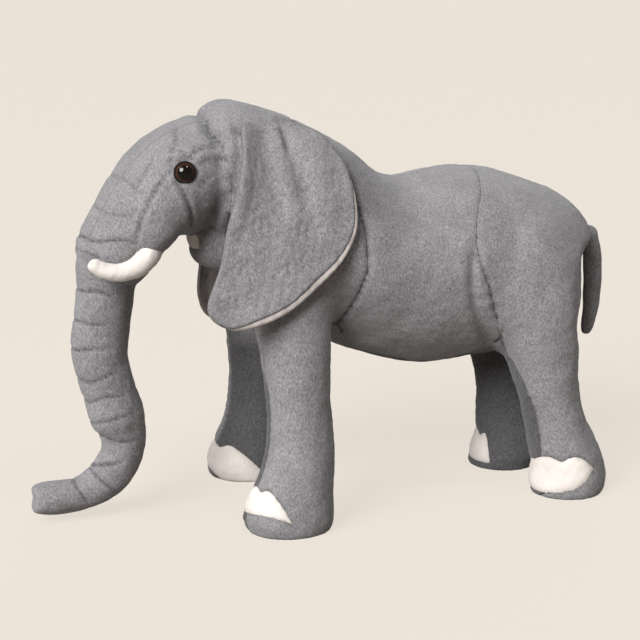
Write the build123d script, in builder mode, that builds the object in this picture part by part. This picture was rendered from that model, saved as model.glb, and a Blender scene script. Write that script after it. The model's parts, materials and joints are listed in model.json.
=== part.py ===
from build123d import *
import os
from math import asin, cos, pi, sin

os.makedirs("parts", exist_ok=True)

# A standing stuffed elephant. It looks along -X, its left side is -Y, and the floor is Z = 0.
# Each soft part is a fabric cover with a stuffing core inside it, and they meet face to face.

# Driving dimensions, in mm
SKIN = 2.0              # plush fabric, backing and pile together
GAP = 0.4               # running gap between a part that moves and its neighbours
OVAL_POINTS = 12        # points of the closed curve that draws one oval section

NECK_X = -72.0          # seam between head and neck
SHOULDER_X = -6.0       # seam between shoulder and barrel
HIP_X = 66.0            # seam between barrel and hindquarter
BELLY_HALF_WIDTH = 26.0
BELLY_TOP_Z = 104.0
FAR = 400.0             # beyond the whole toy

SWING_PIVOT = (-125.0, 0.0, 149.5)   # trunk root, where the trunk swings on the head
SWING_BALL = 19.8
SWING_PLANE_UP = (0.3, 0.0, 1.0)
SWING_LIMIT_PLANES_UP = ((-0.1, 0.0, 1.0), (0.37, 0.0, 1.0))   # what stays under the head at either limit
CURL_PIVOT = (-127.5, 0.0, 64.0)     # middle of the trunk, where its lower half curls
CURL_BALL = 16.4
CURL_PLANE_UP = (-0.25, 0.0, 1.0)

TAIL_PIVOT = (166.5, 0.0, 146.0)
TAIL_BALL = 6.8

EAR_PLUSH, EAR_LINING = 2.4, 1.4
EAR_FRONT_X, EAR_REACH = -100.0, 100.0    # room to draw the ears in: ahead of them and out to their side
# The left ear's hang, seen from the front: y and z of the seam between its two layers, from the sewn top down
EAR_HANG = [
    (-31.8, 224.0),
    (-37.4, 216.0),
    (-42.4, 208.0),
    (-46.8, 200.0),
    (-51.2, 189.0),
    (-55.2, 177.0),
    (-58.8, 163.0),
    (-61.8, 149.0),
    (-66.6, 132.0),
    (-70.4, 117.0),
    (-74.0, 102.0),
    (-76.5, 91.0),
]

EYE_SEAT = (-93.0, -35.8, 200.0)
EYE_LOOK = (-0.22, -1.0, 0.14)
EYE_RADIUS, EYE_DOME, EYE_RIM = 7.0, 5.0, 1.2
SHANK_RADIUS, SHANK_LENGTH = 2.0, 11.0
WASHER_RADIUS, WASHER_THICKNESS, WASHER_DEPTH = 6.5, 1.8, 2.0

SOLE = 2.4
NAIL_LOW_Z, NAIL_SHARE, NAIL_ZONE = 3.6, 0.25, 60.0    # height, start as a share of the foot, reach
TUSK_SKIN = 1.4
LIP = [(-0.2, 9.2), (0.55, 9.8), (1.05, 7.4)]    # share of the tusk's first run, radius of the lip there
GUSSET_HALF_WIDTH = 13.0
LINING_HALF_WIDTH = 9.0
LINING_X, LINING_LOW_Z = -70.0, 144.0
GUSSET_END = (-98.0, 0.0, 180.0)         # the gusset narrows out where the forehead meets the trunk's root

# Oval sections across X: x, centre z, half width, half height
TORSO = [
    (NECK_X, 195.0, 37.0, 35.0),
    (-62.0, 194.0, 42.0, 40.0),
    (-44.0, 182.0, 47.0, 49.0),
    (-18.0, 164.0, 54.0, 58.0),
    (12.0, 145.0, 57.0, 56.2),
    (46.0, 133.2, 57.5, 54.6),
    (86.0, 135.2, 57.0, 56.8),
    (118.0, 134.2, 53.0, 49.4),
    (142.0, 133.4, 43.0, 39.8),
    (155.0, 133.0, 31.0, 29.5),
    (161.0, 133.0, 17.0, 16.0),
]
# Oval sections of the head, facing forwards and then down: x, z, normal x, normal z, half width, half height
HEAD = [
    (NECK_X, 196.0, -1.0, 0.0, 35.0, 31.0),
    (-90.0, 192.0, -1.0, -0.12, 38.0, 30.5),
    (-106.0, 182.0, -0.85, -0.5, 35.0, 25.5),
    (-116.0, 167.0, -0.5, -0.87, 30.0, 23.5),
    (-122.5, 154.0, -0.22, -0.97, 26.0, 24.0),
    (-124.0, 142.0, -0.1, -1.0, 24.5, 23.0),
]
JAW = [
    (-58.0, 172.0, -0.1, -1.0, 21.0, 18.0),
    (-64.0, 158.0, -0.1, -1.0, 19.5, 17.0),
    (-65.5, 147.5, -0.1, -1.0, 16.0, 14.0),
    (-66.0, 141.5, -0.1, -1.0, 9.0, 8.0),
]
# Round sections of the trunk: x, z, normal x, normal z, radius
TRUNK = [
    (-124.0, 152.0, -0.3, -1.0, 17.0),
    (-130.4, 134.0, -0.25, -1.0, 17.0),
    (-133.7, 112.0, -0.1, -1.0, 16.5),
    (-134.2, 92.0, 0.1, -1.0, 15.8),
    (-129.9, 73.0, 0.3, -1.0, 15.1),
    (-124.8, 56.0, 0.2, -1.0, 14.0),
    (-122.9, 42.0, -0.1, -1.0, 12.6),
    (-127.5, 29.5, -0.55, -0.85, 11.6),
    (-137.0, 19.5, -0.85, -0.5, 10.6),
    (-152.0, 14.0, -1.0, -0.12, 9.8),
    (-166.0, 13.6, -1.0, 0.05, 9.6),
    (-175.8, 14.0, -1.0, 0.05, 7.6),
]
TAIL = [
    (166.8, 148.0, 0.25, -1.0, 5.6),
    (169.5, 134.0, 0.1, -1.0, 6.3),
    (170.5, 112.0, 0.0, -1.0, 6.1),
    (169.5, 95.0, -0.1, -1.0, 5.3),
    (166.5, 83.0, -0.2, -1.0, 3.2),
]
# Oval sections of a leg on the -Y side: z, x, y, half length, half width
FORELEG = [
    (0.0, -40.0, -52.0, 22.5, 21.0),
    (5.0, -40.5, -52.0, 24.8, 22.8),
    (14.0, -40.0, -52.0, 24.8, 22.8),
    (30.0, -36.5, -52.0, 21.0, 20.5),
    (50.0, -34.0, -51.0, 18.8, 18.8),
    (78.0, -34.0, -49.0, 18.8, 18.8),
    (112.0, -35.0, -44.0, 21.5, 20.5),
    (140.0, -35.0, -35.0, 26.0, 24.0),
    (166.0, -34.0, -28.0, 24.0, 23.0),
    (184.0, -34.0, -24.0, 14.0, 15.0),
]
HINDLEG = [
    (0.0, 0.0, -42.0, 19.5, 19.0),
    (5.0, 0.0, -42.0, 22.4, 21.5),
    (14.0, 0.6, -42.0, 22.8, 21.5),
    (30.0, -3.6, -42.0, 20.9, 19.5),
    (54.0, -12.0, -42.0, 18.2, 17.8),
    (82.0, -18.0, -41.0, 21.0, 20.5),
    (108.0, -21.0, -38.0, 28.0, 24.5),
    (136.0, -26.0, -31.0, 33.0, 27.5),
    (160.0, -32.0, -24.0, 25.0, 24.0),
    (172.0, -36.0, -20.0, 14.0, 15.0),
]
# The stuffing holds the four legs a little unevenly: how far each stands forward or back, and inward
KNEE_Z, HIP_Z = 54.0, 136.0
HIND_FOOT_X = {"left": 136.0, "right": 122.0}
HIND_KNEE_SHIFT = {"left": 0.0, "right": 3.0}
HIND_FOOT_TUCK = {"left": 0.0, "right": 21.0}
FORELEG_SHIFT = {"left": 0.0, "right": 6.0}
TUSK_TUCK = {"left": 0.0, "right": 6.0}
SIDE_SIGN = {"left": 1.0, "right": -1.0}

# Tusk on the -Y side: centre of each round section, its normal and radius
TUSK = [
    ((-106.0, -20.0, 164.0), (-0.45, -0.5, -0.75), 6.2),
    ((-113.0, -26.5, 154.5), (-0.6, -0.35, -0.7), 6.0),
    ((-121.0, -29.5, 149.3), (-0.95, -0.1, -0.3), 5.4),
    ((-132.0, -30.0, 148.0), (-1.0, 0.0, 0.05), 4.7),
    ((-141.0, -29.0, 150.5), (-0.8, 0.1, 0.6), 4.0),
    ((-145.0, -28.0, 154.5), (-0.6, 0.1, 0.8), 2.6),
]

# Edge of each ear, as x and z, from the front of its sewn top edge round to the back of it.
# The left ear is swept forward at its lower corner; the right one hangs straight down.
EAR_EDGE = {
    "left": [
        (-62.0, 222.0),
        (-64.5, 205.0),
        (-70.0, 189.0),
        (-76.5, 170.0),
        (-80.5, 154.0),
        (-86.0, 141.5),
        (-90.0, 130.0),
        (-80.5, 121.0),
        (-62.0, 121.0),
        (-45.0, 127.0),
        (-27.5, 139.0),
        (-12.0, 152.5),
        (-3.5, 168.0),
        (-2.5, 184.0),
        (-8.0, 206.0),
        (-34.0, 223.0),
    ],
    "right": [
        (-57.0, 222.0),
        (-58.5, 196.0),
        (-59.0, 170.0),
        (-59.5, 147.0),
        (-59.5, 122.0),
        (-58.5, 104.0),
        (-52.0, 94.0),
        (-40.0, 94.0),
        (-27.0, 102.0),
        (-14.0, 118.0),
        (-6.0, 138.0),
        (-3.0, 160.0),
        (-4.0, 182.0),
        (-11.0, 203.0),
        (-32.0, 223.0),
    ],
}


def oval(half_x, half_y):
    """Points of a closed oval about the local origin."""
    turns = [2 * pi * k / OVAL_POINTS for k in range(OVAL_POINTS)]
    return [(half_x * cos(a), half_y * sin(a)) for a in turns]


def through(sections):
    """Closed solid lofted through ovals. A section is (centre, normal, local x direction, half x, half y)."""
    with BuildPart() as body:
        for centre, normal, across, half_x, half_y in sections:
            with BuildSketch(Plane(origin=centre, x_dir=across, z_dir=normal)):
                with BuildLine():
                    Spline(*oval(half_x, half_y), periodic=True)
                make_face()
        loft()
    return body.part


def shortened(rows, inset):
    """The rows' centres, with both ends moved inwards along the body by the inset."""
    ends = [Vector(*row) for row in rows]
    if inset:
        ends[0] = ends[0] + (ends[1] - ends[0]).normalized() * inset
        ends[-1] = ends[-1] + (ends[-2] - ends[-1]).normalized() * inset
    return ends


def along_x(rows, inset=0.0):
    centres = shortened([(x, 0, z) for x, z, _, _ in rows], inset)
    sizes = [(wide - inset, high - inset) for _, _, wide, high in rows]
    return through([(c, (1, 0, 0), (0, 1, 0), *s) for c, s in zip(centres, sizes)])


def in_midplane(rows, inset=0.0):
    """Rows of x, z, normal x, normal z and one or two half sizes."""
    centres = shortened([(row[0], 0, row[1]) for row in rows], inset)
    return through([
        (c, (row[2], 0, row[3]), (0, 1, 0), row[4] - inset, row[-1] - inset)
        for c, row in zip(centres, rows)
    ])


def leg_form(rows, inset=0.0):
    floor = SOLE if inset else 0.0
    return through([
        ((x, y, max(z, floor)), (0, 0, 1), (1, 0, 0), long - inset, wide - inset)
        for z, x, y, long, wide in rows
        if not inset or z == 0 or z > SOLE
    ])


def fore_rows(side):
    return [(z, x + FORELEG_SHIFT[side], y, long, wide) for z, x, y, long, wide in FORELEG]


def hind_rows(side):
    """The hind leg's rows for one side: the foot, knee and hip stand where the stuffing holds them."""
    rows = []
    for z, x, y, long, wide in HINDLEG:
        lift = min(z / KNEE_Z, 1.0)
        knee_share = min(lift, max(0.0, (HIP_Z - z) / (HIP_Z - KNEE_Z)))
        foot = HIND_FOOT_X[side] + (HIND_FOOT_X["left"] - HIND_FOOT_X[side]) * lift
        tuck = HIND_FOOT_TUCK[side] * max(0.0, 1.0 - z / HIP_Z)
        rows.append((z, foot + x + HIND_KNEE_SHIFT[side] * knee_share, y + tuck, long, wide))
    return rows


def tusk_form(side, inset=0.0):
    """The tusk as made for the left side, drawn back and inward towards its tip by the side's tuck."""
    last = len(TUSK) - 1
    tucks = [TUSK_TUCK[side] * k / last for k in range(last + 1)]
    centres = shortened([(x + tuck, y + tuck, z) for ((x, y, z), _, _), tuck in zip(TUSK, tucks)], inset)
    return through([
        (c, normal, (0, 0, 1) if abs(normal[2]) < 0.5 else (1, 0, 0), r - inset, r - inset)
        for c, (_, normal, r) in zip(centres, TUSK)
    ])


def ball(centre, radius):
    with BuildPart() as made:
        with Locations(centre):
            Sphere(radius)
    return made.part


def write(piece, name):
    piece.label = name
    export_step(piece, f"parts/{name}.step")


def on_side(piece, side):
    """The piece made for the left side, or its mirror image for the right."""
    return piece if side == "left" else mirror(piece, about=Plane.XZ)


# Forms: the outside of each stuffed volume, and the stuffing's outside one skin further in
torso = along_x(TORSO)
torso_core = along_x(TORSO, SKIN)
head = in_midplane(HEAD)
head_core = in_midplane(HEAD, SKIN)
jaw = in_midplane(JAW)
jaw_core = in_midplane(JAW, SKIN)
trunk = in_midplane(TRUNK)
trunk_core = in_midplane(TRUNK, SKIN)
tail = in_midplane(TAIL)
tail_core = in_midplane(TAIL, SKIN)

legs, leg_cores, leg_rows = {}, {}, {}
for side in SIDE_SIGN:
    for leg, rows in (("fore", fore_rows(side)), ("hind", hind_rows(side))):
        leg_rows[leg, side] = rows
        legs[leg, side] = on_side(leg_form(rows), side)
        leg_cores[leg, side] = on_side(leg_form(rows, SKIN), side)


def half_space(low, high):
    """Box between two corners, to keep one stretch of a cover."""
    size = [b - a for a, b in zip(low, high)]
    middle = tuple((a + b) / 2 for a, b in zip(low, high))
    with BuildPart() as made:
        with Locations(middle):
            Box(*size)
    return made.part


def side_space(side, x_low, x_high):
    """Everything on one side of the middle seam, between two stations along X."""
    y_low, y_high = (-FAR, 0.0) if side == "left" else (0.0, FAR)
    return half_space((x_low, y_low, 0.0), (x_high, y_high, FAR))


belly_space = half_space((SHOULDER_X, -BELLY_HALF_WIDTH, 0.0), (HIP_X, BELLY_HALF_WIDTH, BELLY_TOP_Z))

# Torso covers: a shoulder with its foreleg, a barrel and a hindquarter with its hind leg, on each side
sole_space = half_space((-FAR, -FAR, 0.0), (FAR, FAR, SOLE))
for side, sign in SIDE_SIGN.items():
    for name, low, high, leg in (
        ("shoulder", NECK_X, SHOULDER_X, "fore"),
        ("hindquarter", HIP_X, FAR, "hind"),
    ):
        with BuildPart() as cover:
            add(torso)
            add(side_space(side, low, high), mode=Mode.INTERSECT)
            add(legs[leg, side])
            add(torso_core, mode=Mode.SUBTRACT)
            add(leg_cores[leg, side], mode=Mode.SUBTRACT)
            add(sole_space, mode=Mode.SUBTRACT)
            if leg == "hind":
                add(ball(TAIL_PIVOT, TAIL_BALL + GAP), mode=Mode.SUBTRACT)
        _, foot_x, foot_y, foot_half_length, _ = leg_rows[leg, side][1]
        nail_low = (foot_x - NAIL_SHARE * foot_half_length, sign * foot_y, NAIL_LOW_Z)
        with BuildPart() as nail_zone:
            with Locations(nail_low):
                Box(NAIL_ZONE, NAIL_ZONE, NAIL_ZONE, align=(Align.MAX, Align.CENTER, Align.MIN))
            split(bisect_by=Plane(origin=nail_low, z_dir=(1, 0, 1)), keep=Keep.BOTTOM)
        with BuildPart() as nails:
            add(cover.part)
            add(nail_zone.part, mode=Mode.INTERSECT)
        with BuildPart() as sewn_cover:
            add(cover.part)
            add(nail_zone.part, mode=Mode.SUBTRACT)
        with BuildPart() as sole:
            add(legs[leg, side])
            add(sole_space, mode=Mode.INTERSECT)
        write(sewn_cover.part, f"{name}_cover_{side}")
        write(nails.part, f"{leg}foot_toenails_{side}")
        write(sole.part, f"{leg}foot_sole_{side}")
    with BuildPart() as barrel:
        add(torso)
        add(side_space(side, SHOULDER_X, HIP_X), mode=Mode.INTERSECT)
        add(torso_core, mode=Mode.SUBTRACT)
        for leg in ("fore", "hind"):
            add(legs[leg, side], mode=Mode.SUBTRACT)
        add(belly_space, mode=Mode.SUBTRACT)
    write(barrel.part, f"barrel_cover_{side}")

with BuildPart() as belly:
    add(torso)
    add(belly_space, mode=Mode.INTERSECT)
    add(torso_core, mode=Mode.SUBTRACT)
    for form in legs.values():
        add(form, mode=Mode.SUBTRACT)
write(belly.part, "belly_panel")
write(torso_core, "torso_stuffing")
for (leg, side), core in leg_cores.items():
    with BuildPart() as leg_stuffing:
        add(core)
        add(torso_core, mode=Mode.SUBTRACT)
    write(leg_stuffing.part, f"{leg}leg_stuffing_{side}")


# Eyes: a domed safety eye whose shank goes through the cover into a lock washer
eyes, washers = {}, {}
rise = EYE_DOME - EYE_RIM
dome_radius = (EYE_RADIUS ** 2 + rise ** 2) / (2 * rise)
dome_half_angle = asin(EYE_RADIUS / dome_radius) / 2
dome_middle = (dome_radius * sin(dome_half_angle), EYE_DOME - dome_radius * (1 - cos(dome_half_angle)))
for side, sign in SIDE_SIGN.items():
    seat = Plane(origin=(EYE_SEAT[0], sign * EYE_SEAT[1], EYE_SEAT[2]),
                 z_dir=(EYE_LOOK[0], sign * EYE_LOOK[1], EYE_LOOK[2]))
    with BuildPart() as eye:
        with BuildSketch(Plane(origin=seat.origin, x_dir=seat.x_dir, z_dir=-seat.y_dir)):
            with BuildLine():
                Polyline((0, EYE_DOME), (0, -SHANK_LENGTH), (SHANK_RADIUS, -SHANK_LENGTH), (SHANK_RADIUS, 0))
                Polyline((SHANK_RADIUS, 0), (EYE_RADIUS, 0), (EYE_RADIUS, EYE_RIM))
                ThreePointArc((EYE_RADIUS, EYE_RIM), dome_middle, (0, EYE_DOME))
            make_face()
        revolve(axis=Axis(seat.origin, seat.z_dir))
    with BuildPart() as washer:
        with BuildSketch(seat.offset(-WASHER_DEPTH)):
            Circle(WASHER_RADIUS)
            Circle(SHANK_RADIUS, mode=Mode.SUBTRACT)
        extrude(amount=-WASHER_THICKNESS)
    eyes[side], washers[side] = eye.part, washer.part
    write(eye.part, f"eye_{side}")
    write(washer.part, f"eye_washer_{side}")

# Tusks, each stuffed, in a lobe of the upper lip that closes round its root
swing_socket = ball(SWING_PIVOT, SWING_BALL + GAP)
tusk_root, tusk_next = Vector(*TUSK[0][0]), Vector(*TUSK[1][0])
tusk_run = tusk_next - tusk_root
tusks = {}
for side in SIDE_SIGN:
    tusks[side] = on_side(tusk_form(side), side)
    tusk_core = on_side(tusk_form(side, TUSK_SKIN), side)
    with BuildPart() as tusk_cover:
        add(tusks[side])
        add(tusk_core, mode=Mode.SUBTRACT)
    with BuildPart() as collar:
        for share, radius in LIP:
            with BuildSketch(Plane(origin=tusk_root + tusk_run * share, z_dir=tusk_run)):
                Circle(radius)
        loft()
    with BuildPart() as lip:
        add(on_side(collar.part, side))
        for form in (tusks[side], head, swing_socket):
            add(form, mode=Mode.SUBTRACT)
    write(tusk_cover.part, f"tusk_cover_{side}")
    write(tusk_core, f"tusk_stuffing_{side}")
    write(lip.part, f"upper_lip_{side}")

# Head: a side panel on each side of the forehead gusset, open below for the trunk
swing_plane = Plane(origin=SWING_PIVOT, z_dir=SWING_PLANE_UP)
with BuildPart() as gusset_space:
    add(half_space((-FAR, -GUSSET_HALF_WIDTH, 0.0), (NECK_X, GUSSET_HALF_WIDTH, FAR)))
    split(bisect_by=Plane(origin=GUSSET_END, z_dir=(-1, 0, 1)), keep=Keep.TOP)
with BuildPart() as head_cover:
    add(head)
    split(bisect_by=swing_plane, keep=Keep.TOP)
    for form in (head_core, swing_socket, *eyes.values(), *washers.values(), *tusks.values()):
        add(form, mode=Mode.SUBTRACT)
with BuildPart() as gusset:
    add(head_cover.part)
    add(gusset_space.part, mode=Mode.INTERSECT)
write(gusset.part, "forehead_gusset")
for side in SIDE_SIGN:
    with BuildPart() as head_side:
        add(head_cover.part)
        add(gusset_space.part, mode=Mode.SUBTRACT)
        add(side_space(side, -FAR, FAR), mode=Mode.INTERSECT)
    write(head_side.part, f"head_side_{side}")
with BuildPart() as head_stuffing:
    add(head_core)
    split(bisect_by=swing_plane, keep=Keep.TOP)
    for form in (swing_socket, *eyes.values(), *washers.values(), *tusks.values()):
        add(form, mode=Mode.SUBTRACT)
write(head_stuffing.part, "head_stuffing")

# Jaw: a stuffed lobe under the throat, with the mouth's lining on its front
jaw_neighbours = (head, torso, legs["fore", "left"], legs["fore", "right"])
with BuildPart() as jaw_skin:
    add(jaw)
    for form in (jaw_core, *jaw_neighbours):
        add(form, mode=Mode.SUBTRACT)
lining_space = half_space((-FAR, -LINING_HALF_WIDTH, LINING_LOW_Z), (LINING_X, LINING_HALF_WIDTH, FAR))
with BuildPart() as jaw_cover:
    add(jaw_skin.part)
    add(lining_space, mode=Mode.SUBTRACT)
with BuildPart() as lining:
    add(jaw_skin.part)
    add(lining_space, mode=Mode.INTERSECT)
with BuildPart() as jaw_stuffing:
    add(jaw_core)
    for form in jaw_neighbours:
        add(form, mode=Mode.SUBTRACT)
write(jaw_cover.part, "jaw_cover")
write(lining.part, "mouth_lining")
write(jaw_stuffing.part, "jaw_stuffing")


def trunk_halves(form, inset=0.0):
    """The trunk's upper half, between its two pivots, and the lower half that curls in a dish below it."""
    with BuildPart() as upper:
        add(form)
        for up in SWING_LIMIT_PLANES_UP:
            split(bisect_by=Plane(origin=SWING_PIVOT, z_dir=up), keep=Keep.BOTTOM)
        split(bisect_by=curl_plane, keep=Keep.TOP)
        add(ball(SWING_PIVOT, SWING_BALL - inset))
        add(ball(CURL_PIVOT, CURL_BALL + GAP + inset), mode=Mode.SUBTRACT)
    with BuildPart() as lower:
        add(form)
        split(bisect_by=curl_plane, keep=Keep.BOTTOM)
        add(ball(CURL_PIVOT, CURL_BALL - inset))
    return upper.part, lower.part


# Trunk: the upper half swings on the head
curl_plane = Plane(origin=CURL_PIVOT, z_dir=CURL_PLANE_UP)
halves = zip(("upper", "lower"), trunk_halves(trunk), trunk_halves(trunk_core, SKIN))
for half, form, core in halves:
    with BuildPart() as trunk_cover:
        add(form)
        add(core, mode=Mode.SUBTRACT)
    write(trunk_cover.part, f"trunk_cover_{half}")
    write(core, f"trunk_stuffing_{half}")

# Tail: a stuffed tube that hangs from its sewn top
with BuildPart() as tail_form:
    add(tail)
    add(ball(TAIL_PIVOT, TAIL_BALL))
with BuildPart() as tail_stuffing:
    add(tail_core)
    add(ball(TAIL_PIVOT, TAIL_BALL - SKIN))
with BuildPart() as tail_cover:
    add(tail_form.part)
    add(tail_stuffing.part, mode=Mode.SUBTRACT)
write(tail_cover.part, "tail_cover")
write(tail_stuffing.part, "tail_stuffing")



def hang_line(distance):
    """The ear's hang moved by a distance along its normal, away from the head if positive."""
    ends = [EAR_HANG[0], *EAR_HANG, EAR_HANG[-1]]
    moved = []
    for (y, z), (y_above, z_above), (y_below, z_below) in zip(EAR_HANG, ends, ends[2:]):
        run = Vector(y_below - y_above, z_below - z_above).normalized()
        moved.append((y + distance * run.Y, z - distance * run.X))
    return moved


# Ears: grey plush outside and a cream lining inside, cut to one outline and hanging in one curve
for side in SIDE_SIGN:
    with BuildPart() as ear_outline:
        with BuildSketch(Plane.XZ):
            with BuildLine():
                Spline(*EAR_EDGE[side])
                Line(EAR_EDGE[side][-1], EAR_EDGE[side][0])
            make_face()
        extrude(amount=EAR_REACH)
    for name, near, far in (("ear_outer", 0.0, EAR_PLUSH), ("ear_lining", -EAR_LINING, 0.0)):
        inside, outside = hang_line(near), hang_line(far)
        with BuildPart() as ear:
            with BuildSketch(Plane.YZ.offset(EAR_FRONT_X)):
                with BuildLine():
                    Spline(*inside)
                    Line(inside[-1], outside[-1])
                    Spline(*outside)
                    Line(outside[0], inside[0])
                make_face()
            extrude(amount=-EAR_FRONT_X)
            add(ear_outline.part, mode=Mode.INTERSECT)
        write(on_side(ear.part, side), f"{name}_{side}")
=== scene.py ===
"""Looks of a standing stuffed elephant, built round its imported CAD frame.

The skin is one smooth volume grown from the CAD stuffing solids. It is cut along its seams into sewn panels,
creased where thread pulls it in, and given a thickness, so that each panel is a closed piece of its own.
Inside this file lengths are millimetres; meshes are made in metres. The elephant looks along -X, left is -Y.
"""
import json
import math

import bpy
import numpy as np
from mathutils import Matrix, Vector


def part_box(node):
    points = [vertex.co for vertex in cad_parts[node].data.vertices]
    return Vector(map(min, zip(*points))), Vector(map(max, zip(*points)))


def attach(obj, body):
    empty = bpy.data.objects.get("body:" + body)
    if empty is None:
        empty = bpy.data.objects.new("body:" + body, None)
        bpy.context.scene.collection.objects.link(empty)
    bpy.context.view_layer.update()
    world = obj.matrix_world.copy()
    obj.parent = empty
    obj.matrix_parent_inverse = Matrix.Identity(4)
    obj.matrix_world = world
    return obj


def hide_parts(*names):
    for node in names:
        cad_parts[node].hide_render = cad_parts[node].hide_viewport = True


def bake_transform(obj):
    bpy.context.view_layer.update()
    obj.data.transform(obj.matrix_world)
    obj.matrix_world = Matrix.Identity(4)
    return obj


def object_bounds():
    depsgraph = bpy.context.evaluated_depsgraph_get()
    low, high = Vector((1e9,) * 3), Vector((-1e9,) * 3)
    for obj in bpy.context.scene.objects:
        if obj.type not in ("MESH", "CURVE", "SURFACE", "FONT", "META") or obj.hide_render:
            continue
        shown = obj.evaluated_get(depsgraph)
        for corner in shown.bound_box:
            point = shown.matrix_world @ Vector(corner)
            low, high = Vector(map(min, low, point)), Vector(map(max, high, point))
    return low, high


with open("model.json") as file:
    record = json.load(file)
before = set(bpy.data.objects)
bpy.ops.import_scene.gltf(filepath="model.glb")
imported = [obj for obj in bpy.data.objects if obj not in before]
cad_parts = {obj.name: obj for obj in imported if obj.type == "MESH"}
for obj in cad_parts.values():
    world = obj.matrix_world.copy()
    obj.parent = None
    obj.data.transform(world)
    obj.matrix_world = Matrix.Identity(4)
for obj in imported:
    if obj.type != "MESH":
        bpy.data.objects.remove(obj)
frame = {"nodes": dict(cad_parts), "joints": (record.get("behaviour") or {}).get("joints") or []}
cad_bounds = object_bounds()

import openvdb as vdb
from mathutils import Vector
from mathutils.bvhtree import BVHTree
from mathutils.kdtree import KDTree

MM = 0.001
RNG_SEED = 11
SIDES = {"left": -1.0, "right": 1.0}


def unit(vector):
    return np.array(vector) / np.linalg.norm(vector)


def bell(distance, width):
    """1 at no distance, and 1 / e at a width away."""
    return np.exp(-(distance / width) ** 2)


def ramp(value, start, end):
    """0 up to start, 1 from end on."""
    return np.clip((value - start) / (end - start), 0, 1)


# ---------------------------------------------------------------- volumes grown from the CAD nodes
VOXEL = 1.3
MARGIN = 9.0            # room round the CAD box
BAND = 14               # voxels of true distance on each side of a surface
PLUSH = 2.0             # the cover's thickness over the stuffing

low = np.array(cad_bounds[0]) / MM - MARGIN
high = np.array(cad_bounds[1]) / MM + MARGIN
shape = tuple(int(n) for n in np.ceil((high - low) / VOXEL) + 1)
axes = [low[k] + VOXEL * np.arange(shape[k], dtype=np.float32) for k in range(3)]
GX = axes[0][:, None, None]
GY = axes[1][None, :, None]
GZ = axes[2][None, None, :]


def node_mesh(name):
    """A CAD node's vertices in millimetres and its triangles."""
    mesh = frame["nodes"][name].data
    mesh.calc_loop_triangles()
    points = np.empty(len(mesh.vertices) * 3)
    mesh.vertices.foreach_get("co", points)
    triangles = np.empty(len(mesh.loop_triangles) * 3, np.int32)
    mesh.loop_triangles.foreach_get("vertices", triangles)
    return points.reshape(-1, 3) / MM, triangles.reshape(-1, 3)


def node_field(name, grow=PLUSH):
    """Distance in millimetres to a CAD node's surface grown outwards, negative inside."""
    points, triangles = node_mesh(name)
    level = vdb.FloatGrid.createLevelSetFromPolygons(
        ((points - low) / VOXEL).astype(np.float32), triangles=triangles.astype(np.uint32),
        transform=vdb.createLinearTransform(voxelSize=1.0), halfWidth=BAND)
    field = np.empty(shape, np.float32)
    level.copyToArray(field)
    return field * VOXEL - grow


def smooth_union(a, b, reach):
    share = np.clip(0.5 + 0.5 * (b - a) / reach, 0.0, 1.0)
    return b + (a - b) * share - reach * share * (1.0 - share)


def block(centre, radii, extra):
    """Slices of the volume round an ellipsoid, to work on that part only."""
    cut = []
    for k in range(3):
        first = int((centre[k] - radii[k] - extra - low[k]) / VOXEL)
        last = int((centre[k] + radii[k] + extra - low[k]) / VOXEL) + 2
        cut.append(slice(max(first, 0), min(last, shape[k])))
    return tuple(cut)


def ellipsoid(field, centre, radii, reach, dig=False):
    """Adds an ellipsoid to the volume, or digs it out, with a soft edge of that reach."""
    part = block(centre, radii, reach + 2 * VOXEL)
    ball = np.sqrt(((GX[part[0]] - centre[0]) / radii[0]) ** 2
                   + ((GY[:, part[1]] - centre[1]) / radii[1]) ** 2
                   + ((GZ[:, :, part[2]] - centre[2]) / radii[2]) ** 2)
    ball = (ball - 1.0) * min(radii)
    if dig:
        field[part] = -smooth_union(-field[part], ball, reach)
    else:
        field[part] = smooth_union(field[part], ball, reach)


def blurred(field, passes):
    for _ in range(passes):
        for axis in range(3):
            field = 0.5 * field + 0.25 * (np.roll(field, 1, axis) + np.roll(field, -1, axis))
    return field


def sampled(field, points):
    """Values of a volume at points, in between its voxels."""
    place = np.clip((points - low) / VOXEL, 0, np.array(shape) - 1.001)
    corner = place.astype(int)
    part = place - corner
    total = np.zeros(len(points))
    for step in np.ndindex(2, 2, 2):
        weight = np.prod(np.abs(1 - np.array(step) - part), axis=1)
        total += weight * field[tuple((corner + step).T)]
    return total


joint = {j["name"]: np.array(j["pos_m"]) / MM for j in frame["joints"]}
# The trunk is cut where it leaves the face and half way down, at its curl: a point and a normal for each
SPLIT_ROOT = (joint["trunk_swing"], unit([0.3, 0.0, 1.0]))
SPLIT_CURL = (joint["trunk_curl"] + np.array([-2.0, 0.0, 8.0]), unit([-0.25, 0.0, 1.0]))
CURL_REACH = 13.0           # how far from that cut the CAD halves stop narrowing


def off_plane(points, plane):
    return (points - plane[0]) @ plane[1]


def girth(points, plane, offset):
    """Centre and radius of a limb at an offset from a plane that crosses it."""
    slab = points[np.abs(off_plane(points, plane) - offset) < 1.5]
    centre = (slab.min(0) + slab.max(0)) / 2
    return np.append(centre, (slab[:, 1].max() - slab[:, 1].min()) / 2)


fields = {name: node_field(name + "_stuffing") for name in ("torso", "head", "jaw")}
for side in SIDES:
    fields["foreleg_" + side] = node_field("foreleg_stuffing_" + side)
    fields["hindleg_" + side] = node_field("hindleg_stuffing_" + side)
for part in ("upper", "lower"):
    fields["trunk_" + part] = np.minimum(node_field("trunk_stuffing_" + part),
                                         node_field("trunk_cover_" + part, 0.0))
fields["tail"] = node_field("tail_stuffing", 1.5)
fields["jaw"] -= 1.2
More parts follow.
